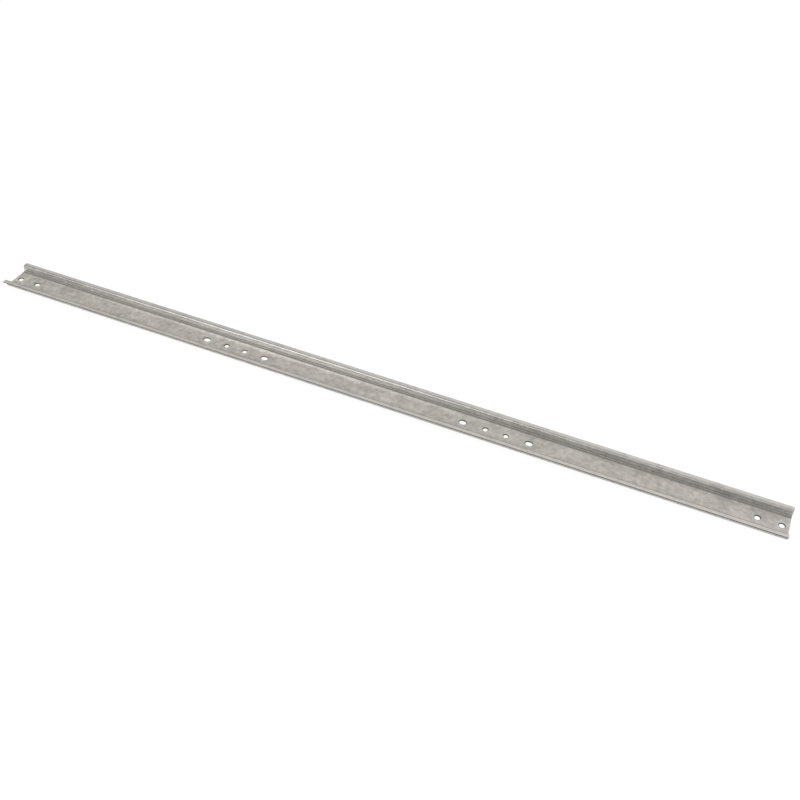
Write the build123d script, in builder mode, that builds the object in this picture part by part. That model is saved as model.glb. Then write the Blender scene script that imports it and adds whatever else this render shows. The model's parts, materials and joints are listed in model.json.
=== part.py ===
"""Top-hat mounting rail, 35 mm wide and 7.5 mm deep: one strip of zinc-coated steel, roll formed and punched.

The rail lies on its floor with the channel open upwards. X runs along it, Y across it and Z up, and the
origin is on the underside of the floor, halfway along and halfway across.
"""

from build123d import *
import os

# The roll-formed section, in millimetres
rail_width = 35.0  # over the tips of the two flanges
rail_depth = 7.5  # from the underside of the floor to the top of the flanges
channel_width = 25.0  # between the inner faces of the two walls
strip_thickness = 1.0
bend_radius = 0.8  # on the inside of each of the four bends
slit_edge_radius = 0.15  # on the corners of the slit edges of the strip

# The length, cut to suit an enclosure that is divided into fields of one pitch
rail_length = 736.0
field_pitch = 250.0

# The punched holes, all on the middle line of the floor
screw_hole_diameter = 4.3
screw_hole_spacing = 18.3  # between the two round holes at each line between fields
slot_length = 6.3
slot_width = 4.8
slot_spacing = 59.2  # between the two slots that stand outside those holes
end_hole_diameter = 4.8
end_hole_inset = 5.8  # from the cut end to the first hole
end_hole_spacing = 19.0
punch_draw_in = 0.45  # how far the punch drew the upper face down around each hole

# What follows from those sizes
outer_bend_radius = bend_radius + strip_thickness
tip = rail_width / 2
wall_outside = channel_width / 2 + strip_thickness
flange_underside = rail_depth - strip_thickness
field_count = round(rail_length / field_pitch)
field_lines = [field_pitch * (line - field_count / 2) for line in range(1, field_count)]


def screw_hole_places():
    """X of each round hole at a line between fields: a pair at each line."""
    return [line + side * screw_hole_spacing / 2 for line in field_lines for side in (-1, 1)]


def slot_places():
    """X of each slot: one on each side of the round pair at a line between fields."""
    return [line + side * slot_spacing / 2 for line in field_lines for side in (-1, 1)]


def end_hole_places():
    """X of each round hole at the ends of the rail: a pair at each end."""
    first = rail_length / 2 - end_hole_inset
    second = first - end_hole_spacing
    return [side * place for side in (-1, 1) for place in (first, second)]


with BuildPart() as rail:
    # The folded strip: the line of its underside, thickened upwards by one sheet
    with BuildSketch(Plane.YZ.offset(-rail_length / 2)) as section:
        with BuildLine():
            FilletPolyline(
                (-tip, flange_underside),
                (-wall_outside, flange_underside),
                (-wall_outside, 0),
                (wall_outside, 0),
                (wall_outside, flange_underside),
                (tip, flange_underside),
                radius=[bend_radius, outer_bend_radius, outer_bend_radius, bend_radius],
            )
            offset(amount=strip_thickness, side=Side.LEFT)
        make_face()
        across = section.vertices().group_by(Axis.X)
        fillet(across[0] + across[-1], radius=slit_edge_radius)
    extrude(amount=rail_length)

    # The holes, punched down through the floor
    with BuildSketch(Plane.XY.offset(strip_thickness)):
        with Locations([(x, 0) for x in screw_hole_places()]):
            Circle(screw_hole_diameter / 2)
        with Locations([(x, 0) for x in slot_places()]):
            SlotOverall(slot_length, slot_width)
        with Locations([(x, 0) for x in end_hole_places()]):
            Circle(end_hole_diameter / 2)
    extrude(amount=-strip_thickness, mode=Mode.SUBTRACT)

    # The edge that the punch drew in around each hole, on the upper face
    upper_face = rail.faces().filter_by(Plane.XY).group_by(Axis.Z)[1].sort_by(SortBy.AREA)[-1]
    chamfer(upper_face.inner_wires().edges(), length=punch_draw_in)

rail.part.label = "top_hat_rail"

os.makedirs("parts", exist_ok=True)
export_step(rail.part, "parts/top_hat_rail.step")
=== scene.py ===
"""Looks of the top-hat mounting rail: the folded and punched strip, its zinc coat, and the studio."""

import json
import math

import bpy
import numpy as np
from mathutils import Matrix, Vector


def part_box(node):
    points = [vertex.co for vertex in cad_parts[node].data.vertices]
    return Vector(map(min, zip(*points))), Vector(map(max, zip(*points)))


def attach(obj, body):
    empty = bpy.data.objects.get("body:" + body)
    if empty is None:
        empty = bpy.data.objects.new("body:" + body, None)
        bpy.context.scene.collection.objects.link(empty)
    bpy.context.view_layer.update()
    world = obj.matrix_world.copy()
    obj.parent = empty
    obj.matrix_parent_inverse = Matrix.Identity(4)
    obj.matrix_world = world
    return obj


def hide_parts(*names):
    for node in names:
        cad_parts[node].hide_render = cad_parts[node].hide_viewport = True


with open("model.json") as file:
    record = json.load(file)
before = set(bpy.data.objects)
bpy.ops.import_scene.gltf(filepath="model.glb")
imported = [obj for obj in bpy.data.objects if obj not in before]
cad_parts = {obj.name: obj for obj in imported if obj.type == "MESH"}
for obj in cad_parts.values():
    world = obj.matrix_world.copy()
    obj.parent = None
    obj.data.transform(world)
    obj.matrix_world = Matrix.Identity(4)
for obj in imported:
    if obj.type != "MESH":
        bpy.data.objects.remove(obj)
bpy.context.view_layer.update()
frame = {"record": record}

# The section
# The rail is one length of steel strip, 1 mm thick, that rolls have folded into a channel with a flange on
# each side. Its section is a row of rungs: a place on the strip's upper face and the place under it.
# Each stretch of it has a finish: the zinc coat, the slit and cut edges, or the edges of the punched holes.

_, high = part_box("top_hat_rail")
half_length = high.x
tip = high.y
depth = high.z
strip = 0.001
bend = 0.0008  # inside radius of each bend
outer_bend = bend + strip
wall_outside = 0.0135
slit_rounding = 0.00015  # on the corners of the slit edges
floor_edge = wall_outside - outer_bend  # half the width of the flat floor
flange_edge = wall_outside + bend  # where each flange starts to be flat
steps_in_bend = 12
steps_in_rounding = 5
steps_in_flat = 4
steps_across_floor = 20
coated, cut_steel_shaded, punched_steel_shaded = range(3)  # the finishes, in the order of the rail's materials
inwards = np.array([-1.0, 0.0])  # the way that the right wall faces
upwards = np.array([0.0, 1.0])


def turn(centre, start, end, under, upper):
    """Rungs round a bend: two places, then the ways that the upper and the under face look there."""
    rungs = []
    for angle in np.radians(np.linspace(start, end, steps_in_bend + 1)):
        out = np.array([math.cos(angle), math.sin(angle)])
        facing = out if upper > under else -out
        rungs.append((centre + upper * out, centre + under * out, facing, -facing))
    return rungs


def straight(start, end, steps, facing):
    """Rungs along a flat stretch between two places on the upper face, which are left out."""
    shares = np.arange(1, steps)[:, None] / steps
    return [(top, top - strip * facing, facing, -facing) for top in start + shares * (end - start)]


def slit_edge():
    """Rungs of the rounded edge on the right, from the end of the flange's flat to the tip."""
    upper = np.array([tip - slit_rounding, depth - slit_rounding])
    lower = np.array([tip - slit_rounding, depth - strip + slit_rounding])
    rungs = []
    for angle in np.radians(np.linspace(90, 0, steps_in_rounding + 1)):
        out = np.array([math.cos(angle), math.sin(angle)])
        down = out * (1, -1)
        rungs.append((upper + slit_rounding * out, lower + slit_rounding * down, out, down))
    return rungs


def right_half():
    """Rungs from the right edge of the floor, over the wall, to the tip of the flange."""
    foot = turn(np.array([floor_edge, outer_bend]), -90, 0, under=outer_bend, upper=bend)
    shoulder = turn(np.array([flange_edge, depth - outer_bend]), 180, 90, under=bend, upper=outer_bend)
    edge = slit_edge()
    wall = straight(foot[-1][0], shoulder[0][0], steps_in_flat, inwards)
    flange = straight(shoulder[-1][0], edge[0][0], steps_in_flat, upwards)
    return foot + wall + shoulder + flange + edge


right = right_half()
left = [tuple(part * (-1, 1) for part in rung) for rung in reversed(right)]
middle = straight(left[-1][0], right[0][0], steps_across_floor, upwards)
rungs = np.array(left + middle + right)
floor_start = len(left) - 1
floor_end = len(left) + len(middle)

# The loop goes once round the section: along the upper face, back along the under face, and home.
loop = np.concatenate([rungs[:, 0], rungs[::-1, 1], rungs[:1, 0]])
loop_facing = np.concatenate([rungs[:, 2], rungs[::-1, 3], rungs[:1, 2]])
loop_way = np.concatenate([[0], np.cumsum(np.linalg.norm(np.diff(loop, axis=0), axis=1))])
loop_finish = np.full(len(loop) - 1, coated)
loop_finish[:steps_in_rounding] = cut_steel_shaded
loop_finish[-steps_in_rounding - 1 :] = cut_steel_shaded
loop_finish[len(rungs) - 1 - steps_in_rounding : len(rungs) + steps_in_rounding] = cut_steel_shaded

# The skin of the strip
# The strip's surface is laid in grids of quads, and where grids meet they share their corners. For the
# export, each quad also has its place on a flat sheet: eight stretches of the rail and one square of ends.

stretches = 8
stretch_length = 2 * half_length / stretches
sheet_square = 0.1  # the side of the square that each of them has on the sheet
squares_across = 3
sheet_margin = 0.0015
closest = 1e-8  # corners that lie nearer than this are one


class Skin:
    """The faces of the rail, gathered grid by grid."""

    def __init__(self):
        self.places = []
        self.facings = []
        self.quads = []
        self.spots = []
        self.finishes = []
        self.count = 0

    def lay(self, places, facings, spread, finish, ends=False):
        """Adds a grid. spread is each corner's place on the sheet, in the square of ends or in a stretch."""
        rows, columns = places.shape[:2]
        index = np.arange(rows * columns).reshape(rows, columns)
        quads = np.stack([index[:-1, :-1], index[1:, :-1], index[1:, 1:], index[:-1, 1:]], -1).reshape(-1, 4)
        corners = places.reshape(-1, 3)[quads]
        away = np.cross(corners[:, 2] - corners[:, 0], corners[:, 3] - corners[:, 1])
        if np.sum(away * facings.reshape(-1, 3)[quads[:, 0]]) < 0:
            quads = quads[:, ::-1]
            corners = corners[:, ::-1]
        number = np.floor((corners[:, :, 0].mean(1) + half_length) / stretch_length)
        if ends:
            number[:] = stretches
        square = np.stack([number % squares_across, number // squares_across], -1) * sheet_square
        shift = square + sheet_margin
        shift[:, 0] -= 0 if ends else number * stretch_length
        self.spots.append((spread.reshape(-1, 2)[quads] + shift[:, None]) / (squares_across * sheet_square))
        self.places.append(places.reshape(-1, 3))
        self.facings.append(facings.reshape(-1, 3))
        self.quads.append(quads + self.count)
        self.finishes.append(np.broadcast_to(finish, (rows - 1, columns - 1)).reshape(-1))
        self.count += rows * columns

    def mesh(self, name):
        """The mesh of all that was laid, with its corners joined where grids meet."""
        places = np.concatenate(self.places)
        cells = np.round(places / closest).astype(int)
        _, first, joined = np.unique(cells, axis=0, return_index=True, return_inverse=True)
        quads = joined.reshape(-1)[np.concatenate(self.quads)]
        made = bpy.data.meshes.new(name)
        made.from_pydata(places[first].tolist(), [], quads.tolist())
        made.polygons.foreach_set("use_smooth", np.ones(len(quads), bool))
        made.polygons.foreach_set("material_index", np.concatenate(self.finishes).astype(np.int32))
        sheet = made.uv_layers.new(name="OFBake")
        sheet.data.foreach_set("uv", np.concatenate(self.spots).reshape(-1).astype(np.float32))
        made.normals_split_custom_set_from_vertices(np.concatenate(self.facings)[first].tolist())
        return made


skin = Skin()


def sweep(stations, first, last, insets=0.0, leans=0.0):
    """Lays the loop's columns from first to last through stations along the rail.

    At the cut ends insets shrink the section, and leans turn its facings towards the end, in radians.
    """
    stations = np.asarray(stations, float)
    insets = np.broadcast_to(insets, stations.shape)
    leans = np.broadcast_to(leans, stations.shape)
    section = loop[first : last + 1]
    facing = loop_facing[first : last + 1]
    shape = (len(stations), len(section))
    places = np.empty((*shape, 3))
    facings = np.empty((*shape, 3))
    places[..., 0] = stations[:, None]
    places[..., 1:] = section - insets[:, None, None] * facing
    facings[..., 0] = np.sin(leans)[:, None]
    facings[..., 1:] = np.cos(leans)[:, None, None] * facing
    spread = np.empty((*shape, 2))
    spread[..., 0] = stations[:, None] + half_length
    spread[..., 1] = loop_way[first : last + 1]
    skin.lay(places, facings, spread, loop_finish[first:last])


# The punched holes
# Round holes and slots, punched down through the floor along its middle line. The punch draws the upper
# face in at the edge, shears the steel for a part of its thickness, and breaks the rest out a little wider.
# The drawn-in edge and the walls of each hole are bare steel, painted very dark with shade.

draw_in_width = 0.0005
draw_in_depth = 0.00045
sheared_depth = 0.0003  # of the straight band below the drawn-in edge
break_out = 0.00005  # how much wider the hole is where the punch left it
break_out_curve = 0.7  # under 1, so that it opens fastest just below the sheared band
lower_rounding = 0.00003
steps_over_rim = 6
steps_in_shear = 3
steps_in_break_out = 5
steps_in_lower_rounding = 3
cell_reach = 0.007  # each hole stands in a cell of the floor that reaches this far to each side of it
steps_along_cell = 12
rows_in_floor = (1, 0.78, 0.56, 0.37, 0.21, 0.09, 0)  # as shares of the way from the hole to its cell's edge
longest_step = 0.005  # along the rail between cells
cut_rounding = 0.00008  # of the section's edges at the cut ends
wall_pitch = 0.002  # between the walls of holes on the sheet
millimetre = 0.001

holes = []  # each hole's place along the rail, half the straight run of its sides, and its radius
for mount in frame["record"]["mounts"]:
    if mount["kind"] == "bolt_pattern":
        dims = mount["dims"]
        radius = dims["hole_r_mm"] * millimetre
        run = dims.get("slot_length_mm", 2 * dims["hole_r_mm"]) / 2 * millimetre - radius
        reach = dims["spacing_x_mm"] / 2 * millimetre
        holes += [(mount["pos_m"][0] + side * reach, run, radius) for side in (-1, 1)]
holes.sort()
under = 2 * len(rungs) - 1  # the loop's column under a rung is this less the rung's number


def hole_edge(share, run, radius):
    """Place on a hole's outline and the way out from it, at a share of the way round from its right side."""
    quarter = math.pi * radius / 2
    half = 2 * run + 2 * quarter
    way = share % 1 * 2 * half
    side = 1 if way < half else -1
    way %= half
    angle = (min(way, quarter) + max(way - quarter - 2 * run, 0)) / radius
    across = run - min(max(way - quarter, 0), 2 * run)
    out = np.array([math.cos(angle), math.sin(angle)])
    return side * (np.array([across, 0]) + radius * out), side * out


def cell_edge(start, end):
    """Places round the edge of a hole's cell, from its lower right corner, with the first one repeated."""
    along = np.linspace(start, end, steps_along_cell + 1)
    across = np.linspace(-floor_edge, floor_edge, steps_across_floor + 1)
    sides = [
        [(end, y) for y in across[:-1]],
        [(x, floor_edge) for x in along[:0:-1]],
        [(start, y) for y in across[:0:-1]],
        [(x, -floor_edge) for x in along],
    ]
    return np.array(sum(sides, []))


def punch(number, x, run, radius, start, end):
    """Lays the floor of one hole's cell and the hole itself."""
    border = cell_edge(start, end)
    count = len(border) - 1
    shares = (np.arange(count + 1) - steps_across_floor / 2) / count
    edge = [hole_edge(share, run, radius) for share in shares]
    outline = np.array([place for place, _ in edge]) + (x, 0)
    out = np.array([way for _, way in edge])

    def row(base, height, rise, outward):
        """Places and facings round the hole: outward is how far the facing leans out from straight up."""
        facing = np.column_stack([np.sin(outward) * out, np.full(count + 1, rise * np.cos(outward))])
        return np.column_stack([base, np.full(count + 1, height)]), facing

    def lay(rows, spread, finish, ends=False):
        """Lays rows as one grid of the skin."""
        places, facings = zip(*rows, strict=True)
        skin.lay(np.array(places), np.array(facings), np.array(spread), finish, ends)

    def floor(height, rise, inner):
        """Rows from the cell's border in to the hole, on the upper or the under face."""
        return [row(inner + share * (border - inner), height, rise, 0) for share in rows_in_floor]

    rim = outline + draw_in_width * out
    upper = floor(strip, 1, rim)
    for angle in np.radians(np.linspace(0, 90, steps_over_rim + 1))[1:]:
        base = outline + draw_in_width * (1 - math.sin(angle)) * out
        lean = -math.atan2(math.sin(angle) * draw_in_depth, math.cos(angle) * draw_in_width)
        upper.append(row(base, strip - draw_in_depth * (1 - math.cos(angle)), 1, lean))
    wall_top = strip - draw_in_depth
    upper_way = loop_way[floor_start] + floor_edge
    spread = [np.column_stack([places[:, 0] + half_length, upper_way + places[:, 1]]) for places, _ in upper]
    flat = len(rows_in_floor)
    lay(upper[:flat], spread[:flat], coated)
    lay(upper[flat - 1 :], spread[flat - 1 :], punched_steel_shaded)

    wall = []
    for height in np.linspace(wall_top, wall_top - sheared_depth, steps_in_shear + 1):
        wall.append(row(outline, height, 1, -math.pi / 2))
    broken = wall_top - sheared_depth - lower_rounding
    for share in np.linspace(0, 1, steps_in_break_out + 1)[1:]:
        base = outline + break_out * share**break_out_curve * out
        wall.append(row(base, lower_rounding + broken * (1 - share), -1, -math.pi / 2 + break_out / broken))
    for angle in np.radians(np.linspace(0, 90, steps_in_lower_rounding + 1))[1:]:
        base = outline + (break_out + lower_rounding * (1 - math.cos(angle))) * out
        wall.append(row(base, lower_rounding * (1 - math.sin(angle)), -1, angle - math.pi / 2))
    girth = np.concatenate([[0], np.cumsum(np.linalg.norm(np.diff(outline, axis=0), axis=1))])
    downs = [number * wall_pitch + wall_top - places[0, 2] for places, _ in wall]
    spread = [np.column_stack([girth, np.full(count + 1, down)]) for down in downs]
    lay(wall, spread, punched_steel_shaded, ends=True)

    lower = floor(0, -1, outline + (break_out + lower_rounding) * out)
    lower_way = loop_way[under - floor_end] + floor_edge
    spread = [np.column_stack([places[:, 0] + half_length, lower_way - places[:, 1]]) for places, _ in lower]
    lay(lower, spread, coated)


home = len(loop) - 1
reached = -half_length + cut_rounding
last_station = half_length - cut_rounding
for number, (x, run, radius) in enumerate(holes):
    start = max(x - cell_reach, -last_station)
    end = min(x + cell_reach, last_station)
    if start > reached:
        steps = math.ceil((start - reached) / longest_step)
        sweep(np.linspace(reached, start, steps + 1), 0, home)
    stations = np.linspace(start, end, steps_along_cell + 1)
    sweep(stations, 0, floor_start)
    sweep(stations, floor_end, under - floor_end)
    sweep(stations, under - floor_start, home)
    punch(number, x, run, radius, start, end)
    reached = end

# The cut ends
# A blade cut both ends square across the finished rail. The cut faces are bare steel with painted shade, a
# colour darker than bare steel's, and the section's edges are hardly rounded there.

end_pitch = 0.012  # between the two ends on the sheet
ends_from = 0.03  # up the square of ends, above the walls of the holes
steps_in_cut_rounding = 3

for side in (-1, 1):
    leans = np.radians(np.linspace(0, 90, steps_in_cut_rounding + 1))
    stations = side * (half_length - cut_rounding * (1 - np.sin(leans)))
    sweep(stations, 0, home, cut_rounding * (1 - np.cos(leans)), side * leans)
    upper = rungs[:, 0] - cut_rounding * rungs[:, 2]
    lower = rungs[:, 1] - cut_rounding * rungs[:, 3]
    face = np.array([upper, lower])
    places = np.concatenate([np.full((*face.shape[:2], 1), side * half_length), face], -1)
    facings = np.zeros_like(places)
    facings[..., 0] = side
    shift = np.array([tip, ends_from + (side + 1) / 2 * end_pitch])
    skin.lay(places, facings, face + shift, cut_steel_shaded, ends=True)

punched_strip = bpy.data.objects.new("punched_strip", skin.mesh("punched_strip"))
bpy.context.scene.collection.objects.link(punched_strip)

# The zinc coat
# The strip was hot-dip coated before it was folded, and the rolls dulled the zinc to a cloudy satin grey,
# drawn along the rail, with light strokes where lengths rubbed in the bundle. They burnished the walls and
# the bends. Painted light makes the flange tops and the low walls lighter, and painted shade darkens the
# bends at the top of the walls and the two feet of the channel.

coat_dark = (0.335, 0.318, 0.292, 1)
coat_pale = (0.59, 0.56, 0.516, 1)
polished_dark = (0.32, 0.315, 0.305, 1)
polished_pale = (0.59, 0.582, 0.565, 1)
# painted shade: a dark colour mixed into the feet of the channel, where shade falls
foot_shade_colour = (0.12, 0.117, 0.112, 1)
foot_shade_share = 0.78  # of the colour in the feet of the channel
crystals_per_metre = 420.0

# Where the tones change: across the section from its middle, or up from its underside. Each pair is the
# stretch that a tone fades in or out over.
wall_inside = wall_outside - strip
# painted light on the flange tops
flange_light_from = (flange_edge - 0.0005, flange_edge + 0.0003)
burnished_from = (floor_edge - 0.0004, floor_edge + 0.0004)
burnished_to = (flange_edge - 0.0001, flange_edge + 0.0007)
# painted shade on the bends at the top of the walls
shoulder_shade_from = (wall_inside - 0.0002, wall_inside + 0.0003)
shoulder_shade_to = (wall_outside, wall_outside + 0.0007)
shoulder_shade_above = (depth - 0.0017, depth - strip)
# painted shade in the two feet of the channel
foot_shade_from = (floor_edge - 0.0024, floor_edge - 0.0005)
foot_shade_to = (wall_inside - 0.0003, wall_inside + 0.00002)
foot_shade_below = (strip + 0.0003, strip + 0.0012)
inner_wall_from = (wall_inside - 0.0003, wall_inside - 0.0001)
inner_wall_to = (wall_inside + 0.0003, wall_inside + 0.0007)
# painted light low on the walls
low_wall_light_above = (strip + 0.0006, strip + 0.0010)
low_wall_light_below = (strip + 0.0024, strip + 0.0036)


class Shade:
    """A socket of a shader tree. Sums and products of such sockets add Math nodes to the tree."""

    def __init__(self, tree, socket=None):
        self.tree = tree
        self.socket = socket

    def node(self, kind, settings, sockets, output=0):
        """Adds a node, sets it up, feeds its sockets with numbers or links, and gives one output."""
        made = self.tree.nodes.new(kind)
        for name, setting in settings.items():
            setattr(made, name, setting)
        for name, fed in sockets.items():
            if isinstance(fed, Shade):
                self.tree.links.new(fed.socket, made.inputs[name])
            else:
                made.inputs[name].default_value = fed
        return Shade(self.tree, made.outputs[output] if len(made.outputs) else None)

    def maths(self, operation, first, second=0.0):
        """A Math node on two numbers or shades."""
        return self.node("ShaderNodeMath", {"operation": operation}, {0: first, 1: second})

    def __add__(self, other):
        return self.maths("ADD", self, other)

    def __radd__(self, other):
        return self.maths("ADD", other, self)

    def __sub__(self, other):
        return self.maths("SUBTRACT", self, other)

    def __rsub__(self, other):
        return self.maths("SUBTRACT", other, self)

    def __mul__(self, other):
        return self.maths("MULTIPLY", self, other)

    def __rmul__(self, other):
        return self.maths("MULTIPLY", other, self)

    def __abs__(self):
        return self.maths("ABSOLUTE", self)

    def rise(self, start, end, first=0.0, last=1.0):
        """The first value up to the start, the last one from the end on, and smooth between them."""
        sockets = {"Value": self, "From Min": start, "From Max": end, "To Min": first, "To Max": last}
        return self.node("ShaderNodeMapRange", {"interpolation_type": "SMOOTHSTEP"}, sockets)

    def fall(self, start, end):
        """1 up to the start, 0 from the end on, and smooth between them."""
        return self.rise(start, end, 1.0, 0.0)

    def noise(self, size, detail=2.0, stretch=(1, 1, 1), turned=0.0, shift=0.0):
        """Smooth noise about 0, with features of about that size in metres."""
        sockets = {
            "Vector": self,
            "Location": (shift, shift, shift),
            "Rotation": (0, 0, turned),
            "Scale": [1 / (size * part) for part in stretch],
        }
        moved = self.node("ShaderNodeMapping", {}, sockets)
        return moved.node("ShaderNodeTexNoise", {}, {"Vector": moved, "Scale": 1.0, "Detail": detail}) - 0.5

    def mix(self, first, second):
        """A colour between two, where this socket says how far."""
        return self.node("ShaderNodeMix", {"data_type": "RGBA"}, {0: self, 6: first, 7: second}, 2)


def new_finish(name):
    """An empty material with its output, and a shade to start from."""
    made = bpy.data.materials.new(name)
    made.use_nodes = True
    made.node_tree.nodes.clear()
    return made, Shade(made.node_tree)


def strokes(place, turned, seed):
    """Thin, nearly straight rub marks in one direction, in short broken lengths."""
    waves = place.noise(size=0.004, detail=1.0, stretch=(9, 1, 1), turned=turned, shift=seed)
    lengths = place.noise(size=0.012, detail=1.0, turned=turned, shift=seed + 5)
    return abs(waves).fall(0.0, 0.006) * lengths.rise(0.02, 0.12)


def zinc_coat():
    """The coat, with its clouds, crystals, drawing lines and rub marks, and the tones of the section, among
    them painted light and shade.
    """
    made, start = new_finish("zinc_coat")
    place = start.node("ShaderNodeTexCoord", {}, {}, "Object")
    across = abs(start.node("ShaderNodeSeparateXYZ", {}, {"Vector": place}, "Y"))
    height = start.node("ShaderNodeSeparateXYZ", {}, {"Vector": place}, "Z")

    clouds = place.noise(size=0.016, detail=3.0)
    blotches = place.noise(size=0.0045, detail=3.0, shift=3.0)
    grain = place.noise(size=0.0006, shift=7.0)
    drawn = place.noise(size=0.0009, detail=3.0, stretch=(60, 1, 1), shift=11.0)
    spread = {"Vector": place, "Scale": crystals_per_metre}
    crystals = place.node("ShaderNodeTexVoronoi", {}, spread, "Color")
    crystal = place.node("ShaderNodeSeparateColor", {}, {"Color": crystals}) - 0.5
    marks = (
        strokes(place, turned=0.5, seed=21.0)
        + strokes(place, turned=-0.8, seed=33.0)
        + strokes(place, turned=1.9, seed=47.0)
    )

    # flange: painted light, the flange tops lighter than the floor of the channel; they are also a little
    # more metallic
    flange = across.rise(*flange_light_from)
    burnished = across.rise(*burnished_from) * across.fall(*burnished_to)
    # shoulder: painted shade, a darker tone on the bends at the top of the walls, which are also a little
    # rougher
    shoulder = across.rise(*shoulder_shade_from) * across.fall(*shoulder_shade_to) * height.rise(*shoulder_shade_above)
    # foot: painted shade in the feet of the channel, where the coat is also rougher and less metallic
    foot = across.rise(*foot_shade_from) * across.fall(*foot_shade_to) * height.fall(*foot_shade_below)
    inner_wall = across.rise(*inner_wall_from) * across.fall(*inner_wall_to)
    # painted light: a lighter tone low on the walls
    low_wall_light = inner_wall * height.rise(*low_wall_light_above) * height.fall(*low_wall_light_below)
    uneven = (1 - 0.5 * burnished) * (clouds + 1.5 * blotches) + 0.7 * grain + 0.45 * drawn
    tone = 0.5 + uneven + 0.26 * crystal + 0.35 * marks + 0.5 * flange - 0.4 * shoulder + 0.4 * low_wall_light
    rough = 0.35 - 0.03 * burnished + 0.04 * shoulder + 0.15 * foot
    rough = rough + 0.16 * clouds + 0.12 * blotches + 0.10 * drawn + 0.05 * marks
    relief = 0.6 * grain + 0.5 * drawn + 0.5 * blotches + 0.5 * marks
    bump = place.node("ShaderNodeBump", {}, {"Strength": 0.35, "Distance": 0.00002, "Height": relief})
    coat = tone.mix(coat_dark, coat_pale)
    polished = tone.mix(polished_dark, polished_pale)
    metal = place.node(
        "ShaderNodeBsdfPrincipled",
        {},
        {
            "Base Color": (foot_shade_share * foot).mix(burnished.mix(coat, polished), foot_shade_colour),
            "Metallic": 0.58 + 0.37 * burnished + 0.15 * flange - 0.35 * foot,
            "Specular IOR Level": 0.3,
            "Roughness": rough,
            "Normal": bump,
        },
    )
    place.node("ShaderNodeOutputMaterial", {}, {"Surface": metal})
    return made


def bare_steel(name, dark, pale, metallic, roughness):
    """Steel without its coat, with lines the way that the blade or the punch went, between two colours."""
    made, start = new_finish(name)
    place = start.node("ShaderNodeTexCoord", {}, {}, "Object")
    drag = place.noise(size=0.00012, stretch=(1, 1, 12))
    specks = place.noise(size=0.0003, detail=3.0, shift=5.0)
    tone = 0.45 + 0.8 * drag + 0.6 * specks
    relief = drag + 0.6 * specks
    bump = place.node("ShaderNodeBump", {}, {"Strength": 0.4, "Distance": 0.00001, "Height": relief})
    metal = place.node(
        "ShaderNodeBsdfPrincipled",
        {},
        {
            "Base Color": tone.mix(dark, pale),
            "Metallic": metallic,
            "Roughness": roughness + 0.25 * specks,
            "Normal": bump,
        },
    )
    place.node("ShaderNodeOutputMaterial", {}, {"Surface": metal})
    return made


# bare steel of the slit and cut edges, in colours darkened with painted shade
cut_shaded_dark = (0.09, 0.088, 0.084, 1)
cut_shaded_pale = (0.25, 0.245, 0.235, 1)
# bare steel of the holes' edges and walls, in colours made very dark with painted shade
punched_shaded_dark = (0.045, 0.043, 0.04, 1)
punched_shaded_pale = (0.11, 0.105, 0.10, 1)
finishes = [
    zinc_coat(),
    bare_steel("cut_steel_shaded", cut_shaded_dark, cut_shaded_pale, metallic=1.0, roughness=0.42),
    bare_steel("punched_steel_shaded", punched_shaded_dark, punched_shaded_pale, metallic=0.6, roughness=0.5),
]
for finish in finishes:
    punched_strip.data.materials.append(finish)
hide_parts("top_hat_rail")
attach(punched_strip, "root")

# The studio floor
# A plain pale floor under the rail, wide enough to reach the horizon of a low view. It has a light of its
# own for the camera and for mirrors, so that it shows white and still keeps a soft shadow of the rail.

floor_reach = 40.0
floor_height = -0.00005  # a hair under the rail
floor_grey = (0.26, 0.26, 0.26, 1)
floor_lift = 0.74  # the strength of its own light
white = (1, 1, 1, 1)

floor_mesh = bpy.data.meshes.new("studio_floor")
ways_out = [(-1, -1), (1, -1), (1, 1), (-1, 1)]
floor_corners = [(x * floor_reach, y * floor_reach, floor_height) for x, y in ways_out]
floor_mesh.from_pydata(floor_corners, [], [(0, 1, 2, 3)])
studio_floor = bpy.data.objects.new("studio_floor", floor_mesh)
bpy.context.scene.collection.objects.link(studio_floor)
paint, start = new_finish("floor_paint")
seen = start.node("ShaderNodeLightPath", {}, {}, "Is Camera Ray")
seen = seen.maths("MAXIMUM", seen, start.node("ShaderNodeLightPath", {}, {}, "Is Glossy Ray"))
seen = seen.maths("MAXIMUM", seen, start.node("ShaderNodeLightPath", {}, {}, "Is Transmission Ray"))
matt = start.node("ShaderNodeBsdfDiffuse", {}, {"Color": floor_grey})
lift = start.node("ShaderNodeEmission", {}, {"Color": white, "Strength": floor_lift * seen})
shown = start.node("ShaderNodeAddShader", {}, {0: matt, 1: lift})
start.node("ShaderNodeOutputMaterial", {}, {"Surface": shown})
floor_mesh.materials.append(paint)

# The light
# A pale surround, dimmest behind on the left. A soft box in front on the left lights the floor of the
# channel, which throws it on to the far wall, and a smaller one in front on the right fills in.

horizon_light = 0.92
back_light = 0.74
front_light = 1.02
left_share = 0.82  # of the light behind and in front, at the far left
right_share = 1.24
front_to_back = (-0.35, 0.25)  # Y of the direction, where the front light fades into the back light
left_to_right = (-0.75, 0.25)  # X of it, where the left share fades into the right one
horizon_to_above = (0.04, 0.12)  # Z of it, where the horizon's light fades into those above

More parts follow.
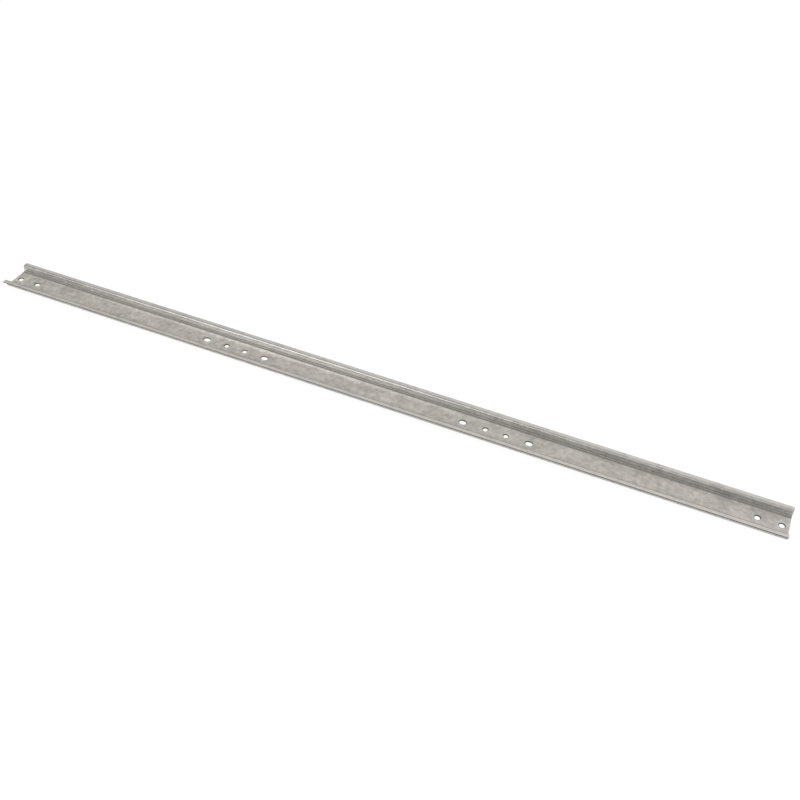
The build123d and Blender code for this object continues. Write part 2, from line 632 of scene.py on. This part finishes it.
world = bpy.data.worlds.new("surround")
world.use_nodes = True
world.node_tree.nodes.clear()
sky = Shade(world.node_tree)
way = sky.node("ShaderNodeTexCoord", {}, {}, "Generated")
back = sky.node("ShaderNodeSeparateXYZ", {}, {"Vector": way}, "Y")
up = sky.node("ShaderNodeSeparateXYZ", {}, {"Vector": way}, "Z")
right = sky.node("ShaderNodeSeparateXYZ", {}, {"Vector": way}, "X")
around = back_light + (front_light - back_light) * back.fall(*front_to_back)
around = around * (left_share + (right_share - left_share) * right.rise(*left_to_right))
strength = around + (horizon_light - around) * up.fall(*horizon_to_above)
glow = sky.node("ShaderNodeBackground", {}, {"Color": white, "Strength": strength})
sky.node("ShaderNodeOutputWorld", {}, {"Surface": glow})
bpy.context.scene.world = world


def soft_box(name, place, target, width, height, power, mirrored):
    """A plain soft box that stands at a place and faces a target. Metal shows it only if it is mirrored."""
    lamp = bpy.data.lights.new(name, "AREA")
    lamp.shape = "RECTANGLE"
    lamp.size = width
    lamp.size_y = height
    lamp.energy = power
    stand = bpy.data.objects.new(name, lamp)
    aim = (target - place).to_track_quat("-Z", "Y")
    stand.matrix_world = Matrix.LocRotScale(place, aim, None)
    stand.visible_glossy = mirrored
    bpy.context.scene.collection.objects.link(stand)


key_place = Vector((-0.56, -0.87, 0.82))
key_target = Vector((-0.058, 0, 0))
soft_box("key", key_place, key_target, width=0.64, height=0.50, power=6.3, mirrored=True)

fill_place = Vector((1.05, -0.95, 0.80))
fill_target = Vector((0.15, 0, 0))
soft_box("fill", fill_place, fill_target, width=0.50, height=0.40, power=8.0, mirrored=False)

# The camera
# It stands in front of the rail, right of its middle, and looks down on it, turned to the left and tilted
# a little, so that the rail runs down across the picture from its upper left.

camera_place = Vector((0.2755, -0.6191, 0.5992))
azimuth = 21.05  # degrees, from square across the rail
elevation = 41.94
roll = 3.476
picture_width = 800  # pixels
focal_pixels = 1034.1  # the focal length, in pixels of that picture

lens = bpy.data.cameras.new("camera")
lens.sensor_fit = "HORIZONTAL"
lens.sensor_width = 36
lens.lens = focal_pixels / picture_width * lens.sensor_width
lens.clip_start = 0.01
camera = bpy.data.objects.new("camera", lens)
aim = (
    Matrix.Rotation(math.radians(azimuth), 4, "Z")
    @ Matrix.Rotation(math.radians(90 - elevation), 4, "X")
    @ Matrix.Rotation(math.radians(roll), 4, "Z")
)
camera.matrix_world = Matrix.Translation(camera_place) @ aim
bpy.context.scene.collection.objects.link(camera)
bpy.context.scene.camera = camera
bpy.context.scene.view_settings.view_transform = "Standard"
